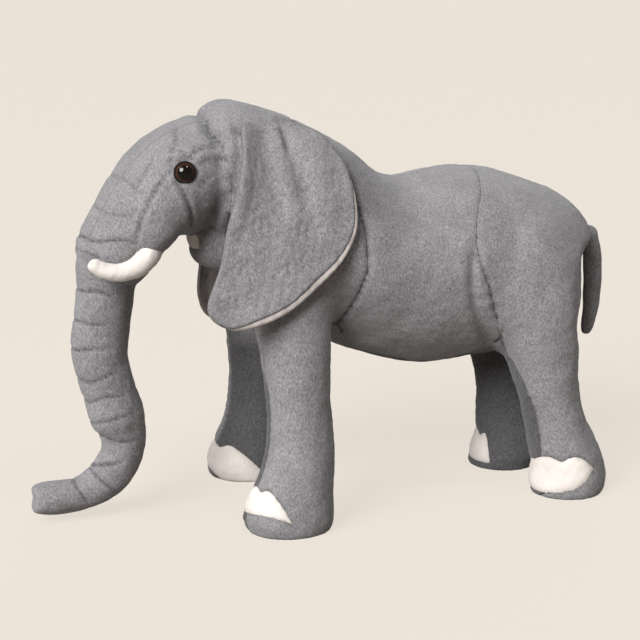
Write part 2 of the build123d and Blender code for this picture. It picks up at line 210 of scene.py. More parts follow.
# The rump falls straight below the tail's root, which leaves the tail hanging free
RUMP_BACK, RUMP_TURN = 163.0, 0.517
rump = GX + RUMP_TURN * np.abs(GY) - RUMP_BACK
rump = (rump - 0.05 * np.maximum(GZ - 136, 0) ** 2 - 0.03 * np.maximum(102 - GZ, 0) ** 2) / 1.126
for name in ("torso", "hindleg_left", "hindleg_right"):
    fields[name] = -smooth_union(-fields[name], -rump, 5.0)

# How softly each volume runs into the ones before it
UNIONS = (("head", 3.0), ("foreleg_left", 11.0), ("foreleg_right", 11.0), ("hindleg_left", 11.0),
          ("hindleg_right", 11.0), ("jaw", 7.0), ("trunk_upper", 6.0), ("trunk_lower", 4.0))
body = fields["torso"]
for name, reach in UNIONS:
    if name == "jaw":       # the gap between trunk and jaw
        ellipsoid(body, (-90.0, 0.0, 142.0), (13.5, 60.0, 15.0), 4.0, dig=True)
        ellipsoid(body, (-94.0, 0.0, 137.0), (16.5, 60.0, 14.5), 3.0, dig=True)
    body = smooth_union(body, fields[name], reach)
above = girth(node_mesh("trunk_cover_upper")[0], SPLIT_CURL, CURL_REACH)
below = girth(node_mesh("trunk_cover_lower")[0], SPLIT_CURL, -CURL_REACH)
for share in np.linspace(0.0, 1.0, 10):     # a sleeve over the curl's clearance
    x, y, z, radius = above + (below - above) * share
    ellipsoid(body, (x, y, z), (radius, radius, radius), 1.0)
body = -smooth_union(-body, -rump, 5.0)
body = smooth_union(body, np.maximum(fields["tail"] + 1.2, 140.0 - GZ), 3.5)            # tail's root

for side, sign in SIDES.items():
    ellipsoid(body, (-90.0, sign * 30.0, 209.0), (13.0, 6.5, 3.6), 5.0)                 # brow
    ellipsoid(body, (-99.0, sign * 28.0, 184.0), (12.0, 9.5, 15.0), 7.0)                # cheek
    ellipsoid(body, (-108.0, sign * 24.5, 167.6), (12.5, 12.0, 13.0), 5.0)              # lip lobe
ellipsoid(body, (20.0, 0.0, 97.5), (19.0, 26.0, 8.0), 7.0)                              # belly
ellipsoid(body, (-65.0, 0.0, 220.5), (9.5, 25.0, 12.0), 3.0)                            # hump's front
ellipsoid(body, (-180.5, 0.0, 13.8), (6.4, 12.0, 3.4), 3.0, dig=True)                   # trunk tip's notch
BODY_EDGE = 8.0             # distances further off than this are all the same
body = blurred(np.clip(body, -BODY_EDGE, BODY_EDGE), 3)


# ---------------------------------------------------------------- the skin as one mesh, cut along its seams
SNAP = 0.12                 # a point this near a cut is on it


class Skin:
    """A triangle mesh in millimetres."""

    def __init__(self, points, triangles):
        self.points = points
        self.triangles = triangles

    def centres(self):
        return self.points[self.triangles].mean(1)

    def cut(self, value, where):
        """Splits those triangles along value = 0, so that a seam there follows edges."""
        value = np.where(np.abs(value) < SNAP, 0.0, value)
        triangles = self.triangles
        ends = triangles[:, [0, 1, 1, 2, 2, 0]].reshape(-1, 3, 2)
        crossed = (value[ends[..., 0]] * value[ends[..., 1]] < 0) & where[:, None]
        keys = np.sort(ends, axis=2) @ np.array([len(self.points), 1])
        split = np.unique(keys[crossed])
        if not len(split):
            return
        a, b = split // len(self.points), split % len(self.points)
        share = (value[a] / (value[a] - value[b]))[:, None]
        added = self.points[a] * (1 - share) + self.points[b] * share
        place = np.searchsorted(split, keys)
        place[place == len(split)] = 0
        middle = np.where(split[place] == keys, place + len(self.points), -1)
        self.points = np.vstack([self.points, added])
        self.triangles = split_triangles(triangles, middle)


def split_triangles(triangles, middle):
    """Triangles with the middle points of their split edges worked in; -1 marks an edge that isn't split."""
    count = (middle >= 0).sum(1)
    made = [triangles[count == 0]]

    def add(chosen, *corners):
        made.append(np.stack([corner[chosen] for corner in corners], 1))

    for turn in range(3):
        order = np.roll(np.arange(3), -turn)
        (t0, t1, t2), (m0, m1, _) = triangles[:, order].T, middle[:, order].T
        one = (count == 1) & (m0 >= 0)
        add(one, t0, m0, t2)
        add(one, m0, t1, t2)
        two = (count == 2) & (m0 >= 0) & (m1 >= 0)
        add(two, m0, t1, m1)
        add(two, t0, m0, m1)
        add(two, t0, m1, t2)
    three = count == 3
    (t0, t1, t2), (m0, m1, m2) = triangles.T, middle.T
    add(three, t0, m0, m2)
    add(three, m0, t1, m1)
    add(three, m2, m1, t2)
    add(three, m0, m1, m2)
    return np.vstack(made)


def faces_of(points, triangles):
    """Each triangle's normal, twice its area long."""
    a, b, c = (points[triangles[:, k]] for k in range(3))
    return np.cross(b - a, c - a)


def skin_of(field, step=1):
    """The surface where a volume is zero, from every step-th voxel, with its normals outward."""
    grid = vdb.FloatGrid()
    grid.background = BODY_EDGE
    grid.copyFromArray(field.astype(np.float32))
    points, quads = grid.convertToQuads(isovalue=0.0)
    points = points.astype(float) * step * VOXEL + low
    quads = quads.astype(np.int64)
    triangles = np.vstack([quads[:, [0, 1, 2]], quads[:, [0, 2, 3]]])
    volume = (faces_of(points, triangles) * points[triangles[:, 0]]).sum()
    return Skin(points, triangles if volume > 0 else triangles[:, ::-1])


def normals_of(points, triangles):
    face = faces_of(points, triangles)
    total = np.zeros_like(points)
    for k in range(3):
        np.add.at(total, triangles[:, k], face)
    return total / np.maximum(np.linalg.norm(total, axis=1), 1e-9)[:, None]


def along(z, stations):
    """A value that runs smoothly through (z, value) stations."""
    heights, values = zip(*sorted(stations))
    return np.interp(z, heights, values)


# Where the seams run: heights and x or y, read off the toy's near side
NECK_SEAM = [(234, -74), (228, -75), (221, -75.5), (213, -71.5), (190, -68), (160, -68)]
SHOULDER_SEAM = [(215, -22), (200, -12), (179, 1), (163, 4), (144, 4), (127, -1), (113, -6), (95, -12)]
HIP_SEAM = [(196, 90), (192, 87), (186, 83), (180, 79.5), (174, 75.5), (166, 71.5), (156, 69.5), (144, 71),
            (131, 76.5), (115, 82), (101, 87.5), (85, 95.5), (70, 102.5), (52, 109), (38, 112), (27, 114),
            (0, 117)]
FORE_INNER_SEAM = [(0, 52), (50, 51), (78, 49), (96, 44), (108, 34), (120, 30)]
HIND_INNER_SEAM = {"left": [(0, 42), (54, 42), (82, 41), (98, 38), (110, 32), (122, 30)],
                   "right": [(0, 30), (54, 35), (82, 37), (98, 36), (110, 32), (122, 30)]}
TAIL_MIDDLE = [(148, 167), (134, 169.5), (112, 170.5), (95, 169.5), (83, 166.5)]
UNDER_TOP = 122.0           # height of the under panel's upper edge
SOLE_TOP = 2.0
GUSSET_HALF = 12.0          # half width of the forehead gusset
MOUTH_HALF, MOUTH_LOW = 10.5, 153.0
FOOT_REACH, FOOT_TOP = 40.0, 45.0


def inner_seam(points):
    """How far outside the seam between the under panel and the side panels a point is."""
    x, y, z = points.T
    fore = along(z, FORE_INNER_SEAM)
    hind = np.where(y < 0, along(z, HIND_INNER_SEAM["left"]), along(z, HIND_INNER_SEAM["right"]))
    belly = ramp(x, -6, 8) * ramp(x, 84, 70) * ramp(z, 60, 72)
    return np.abs(y) - np.where(x < 40, fore, hind) + 27.0 * belly


def nail_edge(points, foot):
    """Positive on the toenail patch of a foot, which wraps the toes between two scalloped edges."""
    x, y, z = points.T
    centre = FEET[foot]
    turn = np.degrees(np.arctan2((y - centre[1]) * SIDES[foot[1]], -(x - centre[0])))
    turns, bottoms, tops = NAIL_LINES[foot].T
    return np.minimum(np.interp(turn, turns, tops) - z, z - np.interp(turn, turns, bottoms))


def by_foot(points, foot, top=FOOT_TOP):
    return (np.linalg.norm(points[:, :2] - FEET[foot][:2], axis=1) < FOOT_REACH) & (points[:, 2] < top)


FEET = {}
for side in SIDES:
    for leg in ("fore", "hind"):
        a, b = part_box(f"{leg}foot_sole_{side}")
        FEET[leg, side] = (np.array(a) + np.array(b)) / 2 / MM
# Toenail patches: turn round the foot in degrees (0 is forward, positive outward), lower and upper edge
NAILS = {
    ("fore", "left"): [(-80, 15, 12), (-62, 10, 16), (-44, 9, 20.5), (-30, 9, 22), (-12, 10.5, 25),
                       (4, 11.5, 26), (18, 12.5, 24), (29, 13, 26.2), (40, 13, 26), (52, 12.5, 23),
                       (64, 11.5, 18), (78, 9.5, 9)],
    ("fore", "right"): [(-106, 3, 2), (-94, 2, 8), (-78, 1, 14), (-62, 1, 19), (-46, 1, 22), (-32, 1.5, 22),
                        (-20, 3, 19.5), (-8, 5, 20.5), (10, 7, 21.5), (28, 8.5, 21), (48, 9.5, 18),
                        (66, 9.5, 13), (80, 9, 8)],
    ("hind", "left"): [(-50, 12, 8), (-36, 4.5, 14), (-20, 4, 20), (0, 4, 21), (20, 4, 24.5), (36, 4.5, 25.5),
                       (48, 5, 24), (56, 5.5, 22.5), (66, 6.3, 25.5), (80, 7.6, 26.5), (94, 10, 24.5),
                       (106, 13.5, 21), (117, 18, 17.5)],
    ("hind", "right"): [(-48, 6, 3), (-40, 5.5, 11), (-30, 5.5, 17), (-20, 5.5, 21), (-10, 5.5, 21),
                        (0, 5.5, 18.5), (10, 5.5, 21), (26, 6, 22), (44, 6.5, 20), (60, 7, 15), (74, 8, 7)],
}


def smooth_line(line, count, passes=10):
    """count points along a polyline, evenly spaced and rounded off; the ends stay."""
    line = np.asarray(line, float)
    length = np.concatenate([[0], np.cumsum(np.linalg.norm(np.diff(line[:, :3], axis=0), axis=1))])
    even = np.linspace(0, length[-1], count)
    out = np.stack([np.interp(even, length, line[:, k]) for k in range(line.shape[1])], 1)
    for _ in range(passes):
        out[1:-1] = 0.5 * out[1:-1] + 0.25 * (out[:-2] + out[2:])
    return out


NAIL_LINES = {foot: smooth_line(table, 120, 14) for foot, table in NAILS.items()}

skin = skin_of(body)
FAR = 999.0


def within(points, x=(-FAR, FAR), y=FAR, z=(-FAR, FAR)):
    """Which points lie in a box; y is its half width."""
    return ((points[:, 0] > x[0]) & (points[:, 0] < x[1]) & (np.abs(points[:, 1]) < y)
            & (points[:, 2] > z[0]) & (points[:, 2] < z[1]))


def cut_by(make_value, **box):
    """Cuts the skin along make_value(points) = 0 inside a box."""
    skin.cut(make_value(skin.points), within(skin.centres(), **box))


def jaw_crease(points):
    return sampled(fields["jaw"], points) - np.minimum(sampled(fields["torso"], points),
                                                       sampled(fields["head"], points))


JAW = {"x": (-95, -44), "y": 24}
JAW_TOP = 172
TRUNK = {"x": (-FAR, -100), "y": 19}
MOUTH = {"x": (-92, -74)}
cut_by(lambda p: off_plane(p, SPLIT_ROOT), z=(-FAR, 165), **TRUNK)
cut_by(lambda p: off_plane(p, SPLIT_CURL), x=(-FAR, -100), z=(55, FAR))
cut_by(jaw_crease, **JAW)
cut_by(lambda p: p[:, 0] - along(p[:, 2], NECK_SEAM), x=(-90, FAR), z=(150, FAR))
cut_by(lambda p: p[:, 1], x=(-78, 168), z=(UNDER_TOP - 4, FAR))
cut_by(lambda p: p[:, 0] - along(p[:, 2], SHOULDER_SEAM), x=(-60, 40), z=(85, FAR))
cut_by(lambda p: p[:, 0] - along(p[:, 2], HIP_SEAM), x=(40, FAR))
cut_by(inner_seam, x=(-100, FAR), z=(-FAR, UNDER_TOP + 4))
cut_by(lambda p: p[:, 2] - UNDER_TOP, x=(-100, FAR), y=36)
cut_by(lambda p: p[:, 2] - SOLE_TOP, x=(-90, FAR))
cut_by(lambda p: np.abs(p[:, 1]) - GUSSET_HALF, x=(-FAR, -60), z=(150, FAR))
cut_by(lambda p: np.abs(p[:, 1]) - MOUTH_HALF, z=(-FAR, JAW_TOP), **MOUTH)
cut_by(lambda p: p[:, 2] - MOUTH_LOW, **MOUTH)
for foot in NAILS:
    skin.cut(nail_edge(skin.points, foot), by_foot(skin.centres(), foot))

# ---------------------------------------------------------------- which panel each triangle belongs to
centres = skin.centres()
value = {name: sampled(field, centres) for name, field in fields.items()}
x, y, z = centres.T
hand = np.where(y < 0, "left", "right")
on_head = ((x < along(z, NECK_SEAM)) & (z > 140)
           & (value["head"] < value["foreleg_left"]) & (value["head"] < value["foreleg_right"]))
panel = np.where(x > 40, np.char.add("hindquarter_", hand), np.char.add("shoulder_", hand)).astype(object)
barrel = (x > along(z, SHOULDER_SEAM)) & (x < along(z, HIP_SEAM)) & (z > 80)
panel[barrel] = np.char.add("barrel_", hand)[barrel]
panel[(z < UNDER_TOP) & (inner_seam(centres) < 0)] = "under"
panel[(x > 88) & (x < along(z, HIP_SEAM)) & (z < 96)] = "under"
panel[on_head] = np.char.add("head_", hand)[on_head]
panel[on_head & (np.abs(y) < GUSSET_HALF) & (z - 180 > x + 98)] = "forehead"
on_jaw = ((value["jaw"] < np.minimum(value["torso"], value["head"]))
          & within(centres, z=(-FAR, JAW_TOP), **JAW))
panel[on_jaw] = "jaw"
panel[on_jaw & within(centres, x=(-FAR, -74), y=MOUTH_HALF, z=(MOUTH_LOW, FAR))] = "mouth"
on_trunk = (off_plane(centres, SPLIT_ROOT) < 0) & within(centres, **TRUNK)
panel[on_trunk] = "trunk_upper"
panel[on_trunk & (off_plane(centres, SPLIT_CURL) < 0)] = "trunk_lower"
for foot in FEET:
    leg, side = foot
    panel[by_foot(centres, foot) & (nail_edge(centres, foot) > 0)] = f"{leg}_nails_{side}"
    panel[by_foot(centres, foot, SOLE_TOP)] = f"{leg}_sole_{side}"


# ---------------------------------------------------------------- seams, creases and stuffing lumps
def waves(points, period, count, seed):
    """Smooth noise of about unit size, as a sum of random waves of roughly one period in millimetres."""
    rng = np.random.default_rng(RNG_SEED + seed)
    total = np.zeros(len(points))
    for _ in range(count):
        way = rng.normal(size=3)
        way *= 2 * math.pi / (period * rng.uniform(0.75, 1.4)) / np.linalg.norm(way)
        total += np.sin(points @ way + rng.uniform(0, 2 * math.pi))
    return total * math.sqrt(2.0 / count)


def tree_of(points):
    tree = KDTree(len(points))
    for k, point in enumerate(points):
        tree.insert(point, k)
    tree.balance()
    return tree


def nearest(tree, points):
    """Which of the tree's points is nearest to each point, and how far away it is."""
    found = [tree.find(point) for point in points]
    return np.array([f[1] for f in found]), np.array([f[2] for f in found])


def fine(line, step=0.8):
    """Points along a polyline, about one step apart."""
    line = np.array(line, float)
    parts = [line[:1]]
    for a, b in zip(line[:-1], line[1:]):
        n = max(int(np.linalg.norm(b - a) / step), 1)
        parts.append(a + (b - a) * (np.arange(1, n + 1) / n)[:, None])
    return np.vstack(parts)


def along_path(flat, path):
    """Distance from flat points to a fine path, and how far along the path the nearest point is."""
    best, share = np.full(len(flat), 1e9), np.zeros(len(flat))
    for k, p in enumerate(path):
        there = np.hypot(*(flat - p).T)
        share = np.where(there < best, k / (len(path) - 1), share)
        best = np.minimum(best, there)
    return best, share


# Creases that are sewn or pinched into one panel: points on the near side, depth, half width, on which sides
CREASES = [
    ([(-97, -29, 208), (-89, -33, 208), (-80, -31, 211), (-72, -32, 213)], 1.3, 1.9, "both"),       # brow
    ([(-90, -10, 224), (-92, -11, 221), (-94, -23, 214), (-99, -32, 203)], 1.0, 1.3, "both"),       # lid
    ([(-99, -33, 201), (-97, -36, 195), (-93, -37, 187), (-90, -30, 176), (-87, -22, 168)],         # cheek
     1.3, 1.4, "both"),
    ([(-100, -33, 200), (-107, -34, 192), (-112, -33, 184), (-115, -32, 178), (-118, -28, 162)],    # tusk
     1.2, 1.4, "both"),
    ([(69, -58, 157), (67, -58, 146), (67, -57, 130), (70, -54, 117), (76, -48, 106), (83, -42, 97),
      (91, -33, 90)], 1.7, 3.0, "both"),                                                            # groin
    ([(-55, -49, 108), (-53, -50, 86), (-52, -54, 58)], 0.8, 1.6, "left"),                          # foreleg
    ([(-108, -24, 208), (-113, -25, 197), (-118, -25, 189)], 0.7, 1.5, "both"),                     # forehead
    ([(-86, -36, 192), (-80, -37, 197), (-76, -37, 199)], 0.5, 2.0, "left"),                        # temple
    ([(-72, -30, 206), (-64, -36, 204), (-58, -38, 206)], 0.6, 2.2, "left"),
    ([(-76, 0, 229), (-77, -14, 227), (-76.5, -24, 221), (-73, -31, 213)], 1.7, 2.6, "both"),       # hump
]
# Tucks stitched across the front of the trunk, as x and z from the front to the side
TUCKS = [
    [(-126, 197), (-117, 191), (-108, 190)], [(-137, 179), (-131, 178), (-119, 178)],
    [(-148, 163), (-124, 163), (-119, 160)], [(-153, 133), (-147, 133), (-128, 132)],
    [(-156, 116), (-150, 116), (-130, 117)], [(-157, 100), (-151, 100), (-130, 103)],
    [(-155, 79), (-148, 81), (-127, 88)], [(-152, 68), (-146, 70), (-123, 75)],
    [(-146, 54), (-140, 57), (-119, 64)], [(-141, 48), (-136, 48), (-116, 46)],
    [(-141, 31), (-137, 32), (-125, 35)], [(-145, 33), (-141, 27), (-129, 16)],
    [(-154, 28), (-152, 22), (-145, 8)],
]
FACE_TUCKS = 2              # the first ones, above the tusks, are shallower
SEAM_DEPTH, SEAM_WIDTH = 1.15, 1.7
EAR_CENTRE = {"left": (-44.0, 170.0), "right": (-34.0, 158.0)}
PUCKER_PERIOD, PUCKER_REACH = 6.5, 7.0
STITCH_PERIOD = 3.4
# How deep the thread pulls a seam in, by the first word that is in either panel's name
SEAM_DEPTHS = (("jaw", 0.5), ("mouth", 0.5), ("sole", 0.25), ("nails", 0.6), ("forehead", 0.3), ("trunk", 0.55))

codes = {name: k for k, name in enumerate(sorted(set(panel)))}
names = sorted(codes)
code = np.array([codes[name] for name in panel])
ends = np.sort(skin.triangles[:, [0, 1, 1, 2, 2, 0]].reshape(-1, 3, 2), axis=2).reshape(-1, 2)
keys = ends @ np.array([len(skin.points), 1])
order = np.argsort(keys, kind="stable")
keys, owner = keys[order], np.repeat(np.arange(len(skin.triangles)), 3)[order]
pair = np.nonzero(keys[1:] == keys[:-1])[0]
meets = code[owner[pair]] != code[owner[pair + 1]]
seam_ends = ends[order][pair[meets]]
seam_kind = np.stack([code[owner[pair[meets]]], code[owner[pair[meets] + 1]]], 1)


def seam_depth(a, b):
    """How deep the seam between two panels is."""
    kinds = {names[k].removesuffix("_left").removesuffix("_right") for k in (a, b)}
    if kinds == {"trunk_upper", "trunk_lower"}:
        return 0.06
    for word, depth in SEAM_DEPTHS:
        if any(word in kind for kind in kinds):
            return depth
    return 0.55 if len(kinds) == 1 else 1.0


seam_points = (skin.points[seam_ends[:, 0]] + skin.points[seam_ends[:, 1]]) / 2
kinds, which = np.unique(seam_kind, axis=0, return_inverse=True)
seam_strength = np.array([seam_depth(a, b) for a, b in kinds])[which.ravel()]

points = skin.points
normals = normals_of(points, skin.triangles)
x, y, z = points.T
drop = np.zeros(len(points))        # how far each point is pulled in
surface = tree_of(points)
spot, gap = nearest(tree_of(seam_points), points)
strength = seam_strength[spot]
under_belly = within(points, x=(-2, 88), y=52, z=(84, 124))
strength = np.where(under_belly, strength * 0.15, strength)
high_hip = (x > 55) & (z > 140)
strength = np.where(high_hip, strength * np.clip(1.0 - (z - 140) / 16, 0.3, 1.0), strength)
on_neck = (z < 216) & (z > 176) & (x < -58) & (np.abs(y) > 12)
strength = np.where(on_neck, strength * np.clip((z - 205) / 11, 0.06, 1.0), strength)
run = seam_points[spot] @ np.array([0.62, 0.55, 0.9])       # grows along a seam, whichever way it runs
pucker = np.sin(2 * math.pi * run / PUCKER_PERIOD + 2.2 * waves(seam_points, 38.0, 6, 1)[spot])
pucker = 0.15 * pucker * np.exp(-gap / PUCKER_REACH) * (1 + 0.5 * waves(points, 30.0, 6, 2))
drop += strength * (SEAM_DEPTH * bell(gap, SEAM_WIDTH) + pucker + 0.3 * bell(gap, 6.0))
stitch = 0.65 + 0.35 * np.sin(2 * math.pi * run / STITCH_PERIOD)
dark = np.maximum(0.0, strength * stitch * bell(gap, 1.1))  # how much a seam shades each point

for line, depth, width, on in CREASES:
    for side, sign in SIDES.items():
        if on not in ("both", side):
            continue
        path = fine(line)
        path[:, 1] = sign * np.abs(path[:, 1])
        path = smooth_line([surface.find(p)[0] for p in path], len(path), 3)
        near = np.nonzero(np.all((points > path.min(0) - 12) & (points < path.max(0) + 12), axis=1))[0]
        spot, gap = nearest(tree_of(path), points[near])
        share = spot / (len(path) - 1)
        fade = np.sqrt(np.clip(np.minimum(share, 1 - share) * 7.0, 0.12, 1.0))
        drop[near] += depth * fade * (bell(gap, width) - 0.3 * bell(gap - 2.2 * width, 1.2 * width))
        if width < 3:       # a stitched one
            stitch = 0.6 + 0.4 * np.sin(2 * math.pi * share * len(path) * 0.8 / STITCH_PERIOD)
            dark[near] = np.maximum(dark[near], 0.8 * fade * stitch * bell(gap, 1.1))

for number, line in enumerate(TUCKS):
    path = fine(line, 0.5)
    heights = (path[:, 1].min() - 12, min(path[:, 1].max() + 12, 205))
    near = np.nonzero(within(points, x=(-FAR, -104), y=31, z=heights))[0]
    wobble = 0.7 * waves(points[near], 22.0, 5, 20 + number)
    gap, share = along_path(points[near][:, [0, 2]] + wobble[:, None] * np.array([0.1, 1.0]), path)
    fade = np.clip((1.06 - share) * 3.0, 0, 1) * (0.45 if number < FACE_TUCKS else 1.0)
    drop[near] += fade * (0.7 * bell(gap, 1.0) - 0.1 * bell(gap - 4.2, 2.6))
    stitch = 0.8 + 0.2 * np.sin(2 * math.pi * share * len(path) * 0.5 / STITCH_PERIOD)
    dark[near] = np.maximum(dark[near], stitch * fade * bell(gap, 0.85))

# The skin along each ear's edge is pulled in, and darkened there with painted shade from the ear
SECTOR, SECTORS = 6, 60     # degrees
for side, sign in SIDES.items():
    flat = node_mesh("ear_outer_" + side)[0][:, [0, 2]] - EAR_CENTRE[side]
    sector = (np.degrees(np.arctan2(flat[:, 1], flat[:, 0])) // SECTOR).astype(int) + SECTORS // 2
    reach = np.zeros(SECTORS + 1)
    np.maximum.at(reach, sector, np.linalg.norm(flat, axis=1))
    reach[SECTORS] = reach[0]
    flat = points[:, [0, 2]] - EAR_CENTRE[side]
    turn = np.degrees(np.arctan2(flat[:, 1], flat[:, 0]))
    middles = (np.arange(SECTORS + 1) - SECTORS / 2 + 0.5) * SECTOR
    off_edge = np.linalg.norm(flat, axis=1) - np.interp(turn, middles, reach)
    high_up = ramp(z, 155, 173) * (y * sign > 12)
    drop += high_up * bell(off_edge, 3.2)
    # painted shade along the ear's edge
    dark = np.maximum(dark, 0.55 * high_up * bell(off_edge, 3.0))

lumps = (0.40 * waves(points, 46.0, 14, 3) + 0.16 * waves(points, 19.0, 18, 4)
         + 0.07 * waves(points, 6.0, 24, 5))
# The trunk's front lies further back
drop += 0.7 * ramp(x, -112, -118) * ramp(z, 205, 193) * ramp(z, 20, 40)
points = points - normals * (drop - lumps * np.where(z < 6.0, 0.25, 1.0))[:, None]
# The blur rounds the feet off, so their lowest part is let out and down again
for foot in FEET:
    low_part = by_foot(points, foot) * ramp(points[:, 2], 13, 0) ** 2
    points[:, :2] += (points[:, :2] - FEET[foot][:2]) * (0.03 * low_part)[:, None]
    points[:, 2] -= 4.2 * low_part
points[:, 2] = np.maximum(points[:, 2], 0.05)
normals = normals_of(points, skin.triangles)

# ---------------------------------------------------------------- materials
def shader(name, base, rough, **settings):
    """A principled material; base is a linear RGB colour."""
    material = bpy.data.materials.new(name)
    material.use_nodes = True
    tree = material.node_tree
    principled = tree.nodes["Principled BSDF"]
    principled.inputs["Base Color"].default_value = (*base, 1.0)
    principled.inputs["Roughness"].default_value = rough
    for key, setting in settings.items():
        principled.inputs[key.replace("_", " ")].default_value = setting
    return material, tree, principled


def mapped(tree, scale, stretch=(1.0, 1.0, 1.0)):
    """Object coordinates in millimetres, stretched."""
    coords = tree.nodes.new("ShaderNodeTexCoord")
    mapping = tree.nodes.new("ShaderNodeMapping")
    mapping.inputs["Scale"].default_value = tuple(scale / MM * s for s in stretch)
    tree.links.new(coords.outputs["Object"], mapping.inputs["Vector"])
    return mapping.outputs["Vector"]


def noise(tree, vector, detail=2.0, rough=0.5):
    node = tree.nodes.new("ShaderNodeTexNoise")
    node.inputs["Scale"].default_value = 1.0
    node.inputs["Detail"].default_value = detail
    node.inputs["Roughness"].default_value = rough
    tree.links.new(vector, node.inputs["Vector"])
    return node.outputs["Fac"]


def ranged(tree, value, low_in, high_in, low_out, high_out):
    node = tree.nodes.new("ShaderNodeMapRange")
    for socket, number in (("From Min", low_in), ("From Max", high_in),
                           ("To Min", low_out), ("To Max", high_out)):
        node.inputs[socket].default_value = number
    tree.links.new(value, node.inputs["Value"])
    return node.outputs["Result"]


def math_node(tree, kind, a, b):
    node = tree.nodes.new("ShaderNodeMath")
    node.operation = kind
    for socket, value in zip(node.inputs, (a, b)):
        if isinstance(value, (int, float)):
            socket.default_value = value
        else:
            tree.links.new(value, socket)
    return node.outputs["Value"]


def pile_material(name, base, sheen=0.15, speckle=0.42, bump=0.7, seam=0.7):
    """Short cut pile: speckled tufts brushed downwards, cloudy shading, a soft sheen, darker by the seam
    attribute: in the seams, and with painted shade
    """
    material, tree, principled = shader(name, base, 0.95)
    tufts = noise(tree, mapped(tree, 1.05, (1.0, 1.0, 0.6)), 3.0, 0.66)
    hairs = noise(tree, mapped(tree, 2.6, (1.0, 1.0, 0.35)), 2.0, 0.6)
    clouds = noise(tree, mapped(tree, 0.06), 3.0, 0.55)
    level = math_node(tree, "MULTIPLY", ranged(tree, tufts, 0.28, 0.72, 1.0 - speckle, 1.0 + speckle),
                      ranged(tree, hairs, 0.25, 0.75, 1.0 - 0.7 * speckle, 1.0 + 0.7 * speckle))
    level = math_node(tree, "MULTIPLY", level, ranged(tree, clouds, 0.3, 0.7, 0.9, 1.1))
    shade = tree.nodes.new("ShaderNodeAttribute")
    shade.attribute_name = "seam"
    level = math_node(tree, "MULTIPLY", level, ranged(tree, shade.outputs["Fac"], 0.0, 1.0, 1.0, 1.0 - seam))
    tint = tree.nodes.new("ShaderNodeVectorMath")
    tint.operation = "SCALE"
    tint.inputs[0].default_value = base
    tree.links.new(level, tint.inputs["Scale"])
    tree.links.new(tint.outputs["Vector"], principled.inputs["Base Color"])
    principled.inputs["Sheen Weight"].default_value = sheen
    principled.inputs["Sheen Roughness"].default_value = 0.5
    principled.inputs["Specular IOR Level"].default_value = 0.12
    height = math_node(tree, "ADD", math_node(tree, "MULTIPLY", tufts, 0.6),
                       math_node(tree, "MULTIPLY", hairs, 0.4))
    relief = tree.nodes.new("ShaderNodeBump")
    relief.inputs["Strength"].default_value = bump
    relief.inputs["Distance"].default_value = 0.9 * MM
    tree.links.new(height, relief.inputs["Height"])
    tree.links.new(relief.outputs["Normal"], principled.inputs["Normal"])
    return material


GREY = (0.219, 0.212, 0.220)
plush = pile_material("grey plush", GREY)
sole_plush = pile_material("sole plush", (0.118, 0.113, 0.116))
velour = pile_material("cream velour", (0.67, 0.618, 0.575), sheen=0.15, speckle=0.06, bump=0.3, seam=0.35)
fibre = pile_material("fibre filling", (0.80, 0.79, 0.76), sheen=0.2, speckle=0.12, bump=0.8, seam=0.0)
# On the ears' insides the seam attribute holds only painted shade, over the far ear's front
lining = pile_material("cream lining", (0.42, 0.375, 0.352), sheen=0.15, speckle=0.10, bump=0.3, seam=0.6)

# ---------------------------------------------------------------- panels cut from the skin, each closed
BACKING = 1.5               # how thick the cloth is
INNER_LEG_PAINTED_SHADE = 0.85      # painted shade: the under panel darkens low down, over the legs' inner sides


def piece(name, verts, triangles, material, smooth=True, attributes=()):
    """A mesh object from points in millimetres."""
    mesh = bpy.data.meshes.new(name)
    mesh.vertices.add(len(verts))
    mesh.vertices.foreach_set("co", (np.asarray(verts, np.float32) * MM).ravel())
    mesh.loops.add(3 * len(triangles))
    mesh.loops.foreach_set("vertex_index", np.asarray(triangles, np.int32).ravel())
    mesh.polygons.add(len(triangles))
    mesh.polygons.foreach_set("loop_start", np.arange(0, 3 * len(triangles), 3, dtype=np.int32))
    mesh.polygons.foreach_set("use_smooth", np.full(len(triangles), smooth))
    mesh.update(calc_edges=True)
    for label, values in attributes:
        mesh.attributes.new(label, "FLOAT", "POINT").data.foreach_set("value", np.asarray(values, np.float32))
    mesh.materials.append(material)
    made = bpy.data.objects.new(name, mesh)
    bpy.context.scene.collection.objects.link(made)
    return made


def thick(outer, inner, triangles):
    """A closed shell between two layers of the same triangles, walled along their open edges."""
    n = len(outer)
    ends = triangles[:, [0, 1, 1, 2, 2, 0]].reshape(-1, 2)
    keys = np.sort(ends, axis=1) @ np.array([n, 1])
    _, first, count = np.unique(keys, return_index=True, return_counts=True)
    open_ends = ends[first[count == 1]]
    a, b = open_ends.T
    walls = np.vstack([np.stack([b, a, a + n], 1), np.stack([b, a + n, b + n], 1)])
    return np.vstack([outer, inner]), np.vstack([triangles, triangles[:, ::-1] + n, walls])


def strips(rows):
    """Triangles between rings of points, given as rows of point numbers."""
    a, b = rows[:-1], rows[1:]
    a2, b2 = np.roll(a, -1, axis=1), np.roll(b, -1, axis=1)
    return np.vstack([np.stack([a.ravel(), a2.ravel(), b.ravel()], 1),
                      np.stack([a2.ravel(), b2.ravel(), b.ravel()], 1)])


def fan(ring, middle):
    """Triangles from a ring to one point."""
    return np.stack([ring, np.roll(ring, -1), np.full(len(ring), middle)], 1)


def rounded_edge(into, size):
    """Rises from 0 at the edge to 1 at a distance in, like a quarter circle."""
    return np.sqrt(np.clip(1 - (1 - np.minimum(into / size, 1)) ** 2, 0.0, 1))


